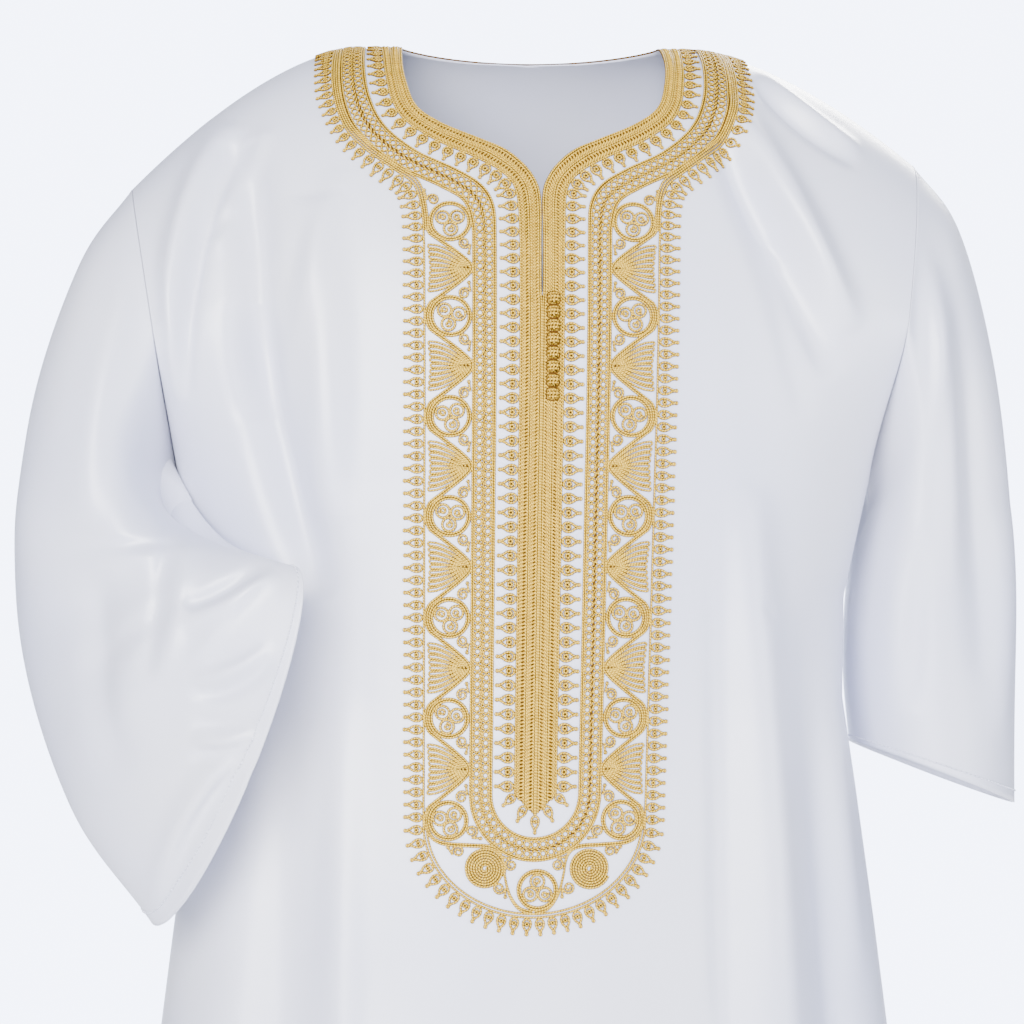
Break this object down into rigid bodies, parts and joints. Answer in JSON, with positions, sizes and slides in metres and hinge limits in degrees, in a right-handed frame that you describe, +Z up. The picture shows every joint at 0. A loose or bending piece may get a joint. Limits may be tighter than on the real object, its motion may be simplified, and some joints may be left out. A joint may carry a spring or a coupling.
{
  "type": "kaftan",
  "caption": "Ankle-length satin kaftan, worn and hollow, with wide sleeves, a slit round neck and corded embroidery down the front.",
  "frame": {"origin": "middle of the shoulder line, where the shoulders hold the garment up", "axes": "+Z up, the front faces -Y, +X is the wearer's left, which is the picture's right"},
  "size_m": [0.7047, 0.409, 1.4031],
  "materials": {
    "satin": "smooth white satin with a soft sheen",
    "gold_cord": "twisted gold cord with a silky sheen"
  },
  "bodies": {
    "root": {"back_braid": "gold_cord", "back_mid_band": "gold_cord", "back_outer_cord": "gold_cord", "back_panel": "satin", "bottom_circle": "gold_cord", "front_panel": "satin", "knot_button_1": "gold_cord", "knot_button_2": "gold_cord", "knot_button_3": "gold_cord", "knot_button_4": "gold_cord", "knot_button_5": "gold_cord", "knot_button_6": "gold_cord", "knot_button_7": "gold_cord", "knot_button_8": "gold_cord", "left_braid": "gold_cord", "left_braid_drops": "gold_cord", "left_circle_1": "gold_cord", "left_circle_2": "gold_cord", "left_circle_3": "gold_cord", "left_circle_4": "gold_cord", "left_circle_5": "gold_cord", "left_circle_6": "gold_cord", "left_circle_7": "gold_cord", "left_fan_1": "gold_cord", "left_fan_2": "gold_cord", "left_fan_3": "gold_cord", "left_fan_4": "gold_cord", "left_fan_5": "gold_cord", "left_fan_6": "gold_cord", "left_outer_drops": "gold_cord", "left_sleeve": "satin", "left_spiral": "gold_cord", "mid_band": "gold_cord", "outer_cord": "gold_cord", "right_braid": "gold_cord", "right_braid_drops": "gold_cord", "right_circle_1": "gold_cord", "right_circle_2": "gold_cord", "right_circle_3": "gold_cord", "right_circle_4": "gold_cord", "right_circle_5": "gold_cord", "right_circle_6": "gold_cord", "right_circle_7": "gold_cord", "right_fan_1": "gold_cord", "right_fan_2": "gold_cord", "right_fan_3": "gold_cord", "right_fan_4": "gold_cord", "right_fan_5": "gold_cord", "right_fan_6": "gold_cord", "right_outer_drops": "gold_cord", "right_sleeve": "satin", "right_spiral": "gold_cord"}
  },
  "joints": []
}
